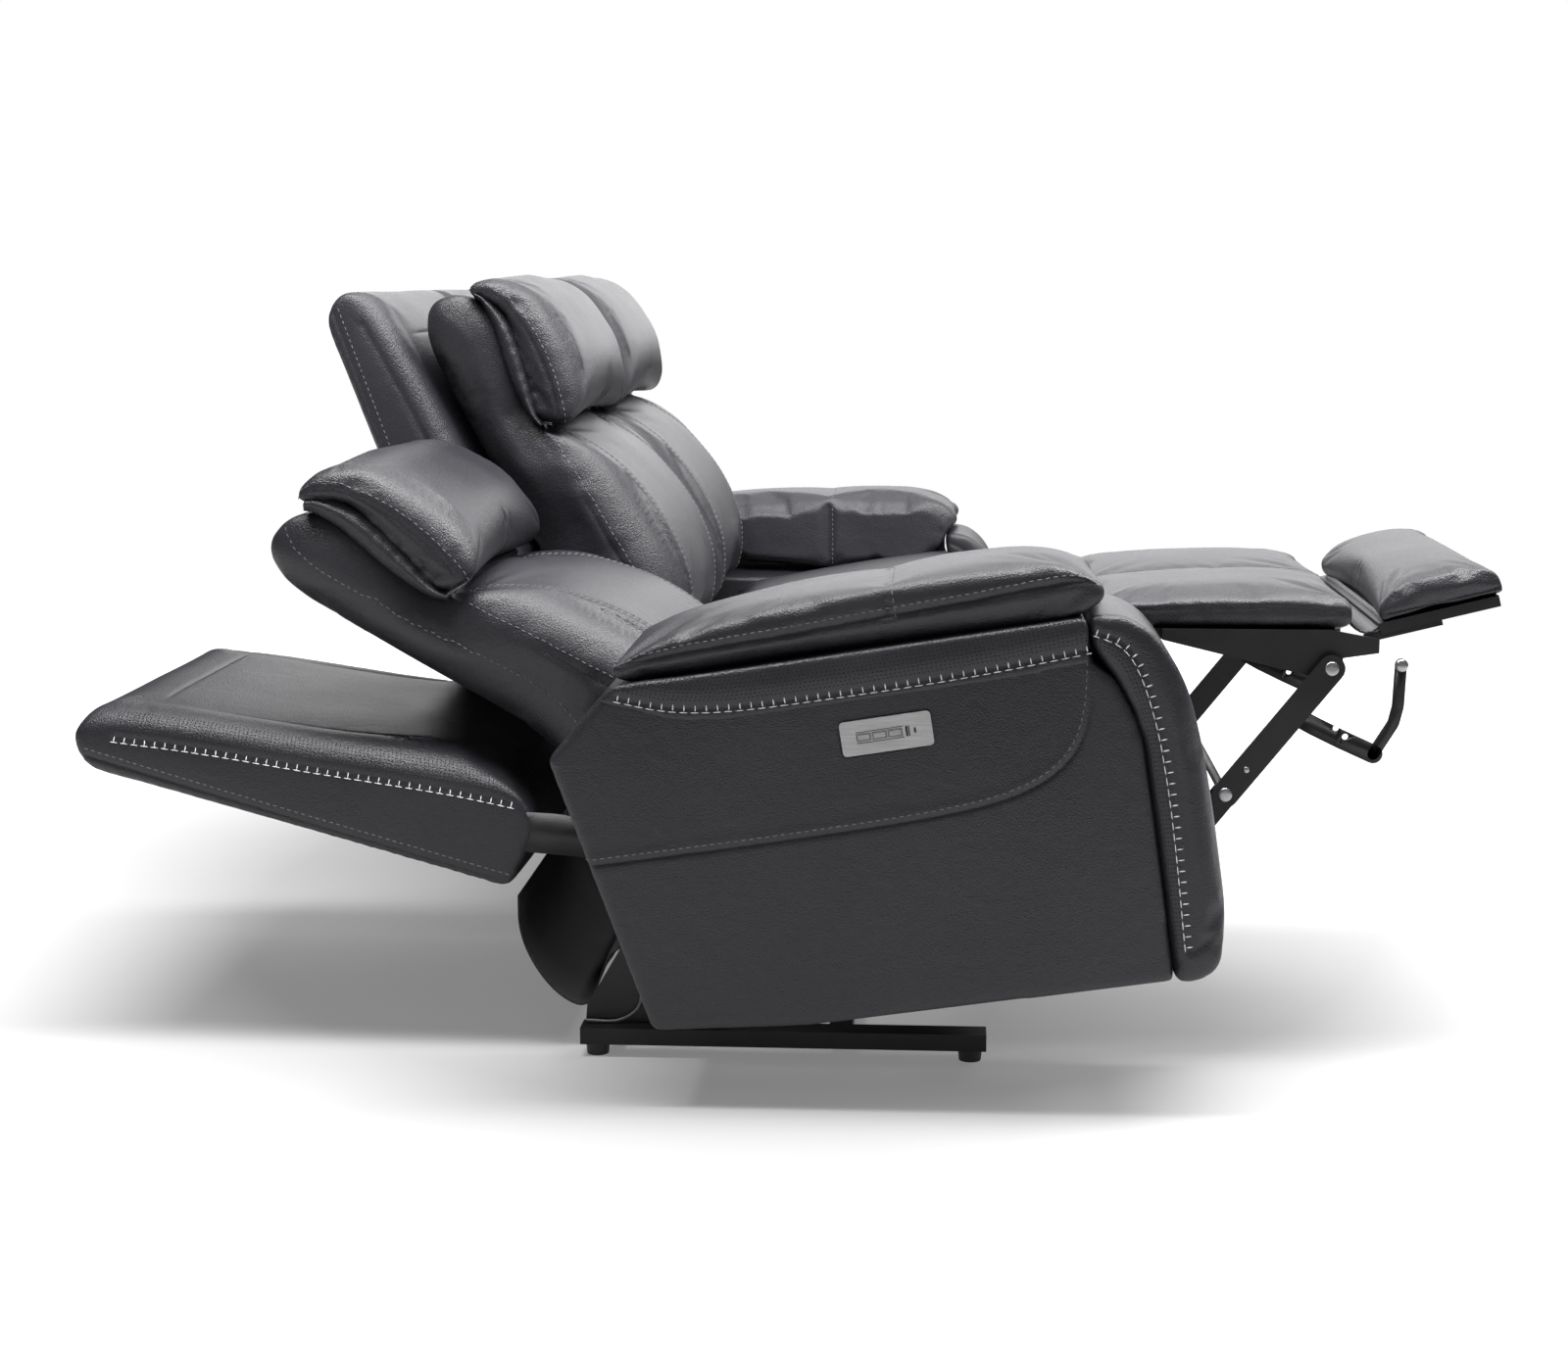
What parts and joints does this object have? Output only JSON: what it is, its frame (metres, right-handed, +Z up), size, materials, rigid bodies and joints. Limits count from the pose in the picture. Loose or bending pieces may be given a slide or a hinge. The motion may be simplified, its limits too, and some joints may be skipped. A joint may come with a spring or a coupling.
{
  "type": "recliner sofa",
  "caption": "Three-seat power recliner sofa with gliding seat carriages, reclining backs, tilting headrests, folding footrests and arm control buttons.",
  "frame": {"origin": "centre of the bounding box at floor level", "axes": "+X the way a sitter faces, +Y the sitter's left along the sofa, +Z up"},
  "size_m": [1.8456, 2.1878, 1.0175],
  "materials": {
    "leather": "satin",
    "steel": "satin",
    "plastic": "matte",
    "silver": "satin",
    "cloth": "matte"
  },
  "bodies": {
    "base": {"right_base_frame": "steel", "right_foot_front_outer": "plastic", "right_foot_rear_outer": "plastic", "right_foot_front_inner": "plastic", "right_foot_rear_inner": "plastic", "right_motor_lead": "plastic", "middle_frame": "steel", "middle_seat_cushion": "leather", "middle_front_panel": "leather", "middle_back_shell": "leather", "middle_back_cushion": "leather", "middle_headrest_pillow": "leather", "left_base_frame": "steel", "left_foot_front_outer": "plastic", "left_foot_rear_outer": "plastic", "left_foot_front_inner": "plastic", "left_foot_rear_inner": "plastic"},
    "right_carriage": {"right_seat_frame": "steel", "right_motor": "plastic", "right_seat_cushion": "leather", "right_arm_panel": "leather", "right_arm_band": "leather", "right_arm_pad": "leather", "right_arm_roll": "leather", "right_switch_plate": "silver", "right_rear_flap": "cloth"},
    "right_back": {"right_back_shell": "leather"},
    "right_backrest": {"right_back_cushion": "leather"},
    "right_headrest": {"right_headrest_pillow": "leather"},
    "right_ottoman": {"right_chaise_pad": "leather", "right_ottoman_frame": "steel"},
    "right_flip": {"right_flip_frame": "steel", "right_flip_pad": "leather"},
    "right_lower_links": {"right_lower_links": "steel"},
    "right_upper_links": {"right_upper_links": "steel"},
    "right_button_1": {"right_button_1": "silver"},
    "right_button_2": {"right_button_2": "silver"},
    "right_button_3": {"right_button_3": "silver"},
    "left_carriage": {"left_seat_frame": "steel", "left_motor": "plastic", "left_seat_cushion": "leather", "left_arm_panel": "leather", "left_arm_band": "leather", "left_arm_pad": "leather", "left_arm_roll": "leather", "left_switch_plate": "silver", "left_rear_flap": "cloth"},
    "left_back": {"left_back_shell": "leather"},
    "left_backrest": {"left_back_cushion": "leather"},
    "left_headrest": {"left_headrest_pillow": "leather"},
    "left_ottoman": {"left_chaise_pad": "leather", "left_ottoman_frame": "steel"},
    "left_flip": {"left_flip_frame": "steel", "left_flip_pad": "leather"},
    "left_lower_links": {"left_lower_links": "steel"},
    "left_upper_links": {"left_upper_links": "steel"},
    "left_button_1": {"left_button_1": "silver"},
    "left_button_2": {"left_button_2": "silver"},
    "left_button_3": {"left_button_3": "silver"}
  },
  "joints": [
    {"name": "right_seat_glide", "type": "hinge", "parent": "base", "child": "right_carriage", "pos_m": [-0.32225, 0, 1.608], "axis": [0, -1, 0], "range_deg": [-9, 0]},
    {"name": "right_back_recline", "type": "hinge", "parent": "right_carriage", "child": "right_back", "pos_m": [-0.12427, 0, 0.26848], "axis": [0, -1, 0], "range_deg": [-45.2, 0], "deforming": ["right_rear_flap"]},
    {"name": "right_back_tilt", "type": "hinge", "parent": "right_back", "child": "right_backrest", "pos_m": [-0.35366, 0, 0.14639], "axis": [0, -1, 0], "range_deg": [0, 22.4]},
    {"name": "right_headrest_tilt", "type": "hinge", "parent": "right_backrest", "child": "right_headrest", "pos_m": [-0.37513, 0, 0.63078], "axis": [0, -1, 0], "range_deg": [-22, 3]},
    {"name": "right_footrest", "type": "hinge", "parent": "right_carriage", "child": "right_ottoman", "pos_m": [0.39169, 0, 0.52029], "axis": [0, -1, 0], "range_deg": [-81, 0]},
    {"name": "right_lower_link", "type": "hinge", "parent": "right_carriage", "child": "right_lower_links", "pos_m": [0.43194, 0, 0.17028], "axis": [0, -1, 0], "range_deg": [0, 72]},
    {"name": "right_upper_link", "type": "hinge", "parent": "right_lower_links", "child": "right_upper_links", "pos_m": [0.57689, 0, 0.35523], "axis": [0, -1, 0], "range_deg": [-172.5, 0]},
    {"name": "right_flip", "type": "hinge", "parent": "right_ottoman", "child": "right_flip", "pos_m": [0.75679, 0, 0.54999], "axis": [0, -1, 0], "range_deg": [-175.4, 0]},
    {"name": "right_button_1_press", "type": "slide", "parent": "right_carriage", "child": "right_button_1", "axis": [0, 1, 0], "range_m": [0, 0.0015], "stiffness_N_per_m": 500, "springref_m": -0.001},
    {"name": "right_button_2_press", "type": "slide", "parent": "right_carriage", "child": "right_button_2", "axis": [0, 1, 0], "range_m": [0, 0.0015], "stiffness_N_per_m": 500, "springref_m": -0.001},
    {"name": "right_button_3_press", "type": "slide", "parent": "right_carriage", "child": "right_button_3", "axis": [0, 1, 0], "range_m": [0, 0.0015], "stiffness_N_per_m": 500, "springref_m": -0.001},
    {"name": "left_seat_glide", "type": "hinge", "parent": "base", "child": "left_carriage", "pos_m": [-0.32225, 0, 1.608], "axis": [0, -1, 0], "range_deg": [0, 9]},
    {"name": "left_back_recline", "type": "hinge", "parent": "left_carriage", "child": "left_back", "pos_m": [-0.33625, 0, 0.254], "axis": [0, -1, 0], "range_deg": [0, 45.2], "deforming": ["left_rear_flap"]},
    {"name": "left_back_tilt", "type": "hinge", "parent": "left_back", "child": "left_backrest", "pos_m": [-0.57025, 0, 0.367], "axis": [0, -1, 0], "range_deg": [-22.4, 0]},
    {"name": "left_headrest_tilt", "type": "hinge", "parent": "left_backrest", "child": "left_headrest", "pos_m": [-0.33325, 0, 0.79], "axis": [0, -1, 0], "range_deg": [-25, 0]},
    {"name": "left_footrest", "type": "hinge", "parent": "left_carriage", "child": "left_ottoman", "pos_m": [0.21275, 0, 0.422], "axis": [0, -1, 0], "range_deg": [0, 81]},
    {"name": "left_lower_link", "type": "hinge", "parent": "left_carriage", "child": "left_lower_links", "pos_m": [0.19775, 0, 0.07], "axis": [0, -1, 0], "range_deg": [-72, 0]},
    {"name": "left_upper_link", "type": "hinge", "parent": "left_lower_links", "child": "left_upper_links", "pos_m": [0.10025, 0, 0.2838], "axis": [0, -1, 0], "range_deg": [0, 172.5]},
    {"name": "left_flip", "type": "hinge", "parent": "left_ottoman", "child": "left_flip", "pos_m": [0.24245, 0, 0.0569], "axis": [0, -1, 0], "range_deg": [0, 175.4]},
    {"name": "left_button_1_press", "type": "slide", "parent": "left_carriage", "child": "left_button_1", "axis": [0, -1, 0], "range_m": [0, 0.0015], "stiffness_N_per_m": 500, "springref_m": -0.001},
    {"name": "left_button_2_press", "type": "slide", "parent": "left_carriage", "child": "left_button_2", "axis": [0, -1, 0], "range_m": [0, 0.0015], "stiffness_N_per_m": 500, "springref_m": -0.001},
    {"name": "left_button_3_press", "type": "slide", "parent": "left_carriage", "child": "left_button_3", "axis": [0, -1, 0], "range_m": [0, 0.0015], "stiffness_N_per_m": 500, "springref_m": -0.001}
  ],
  "couplings": [
    {"joint": "right_back_recline", "follows": "right_seat_glide", "ratio": 4.9778},
    {"joint": "right_back_tilt", "follows": "right_seat_glide", "ratio": -2.4444},
    {"joint": "right_lower_link", "follows": "right_footrest", "ratio": -0.88395},
    {"joint": "right_upper_link", "follows": "right_footrest", "ratio": 2.1247},
    {"joint": "right_flip", "follows": "right_footrest", "ratio": 2.1605},
    {"joint": "left_back_recline", "follows": "left_seat_glide", "ratio": 4.9778},
    {"joint": "left_back_tilt", "follows": "left_seat_glide", "ratio": -2.4444},
    {"joint": "left_lower_link", "follows": "left_footrest", "ratio": -0.88395},
    {"joint": "left_upper_link", "follows": "left_footrest", "ratio": 2.1247},
    {"joint": "left_flip", "follows": "left_footrest", "ratio": 2.1605}
  ]
}
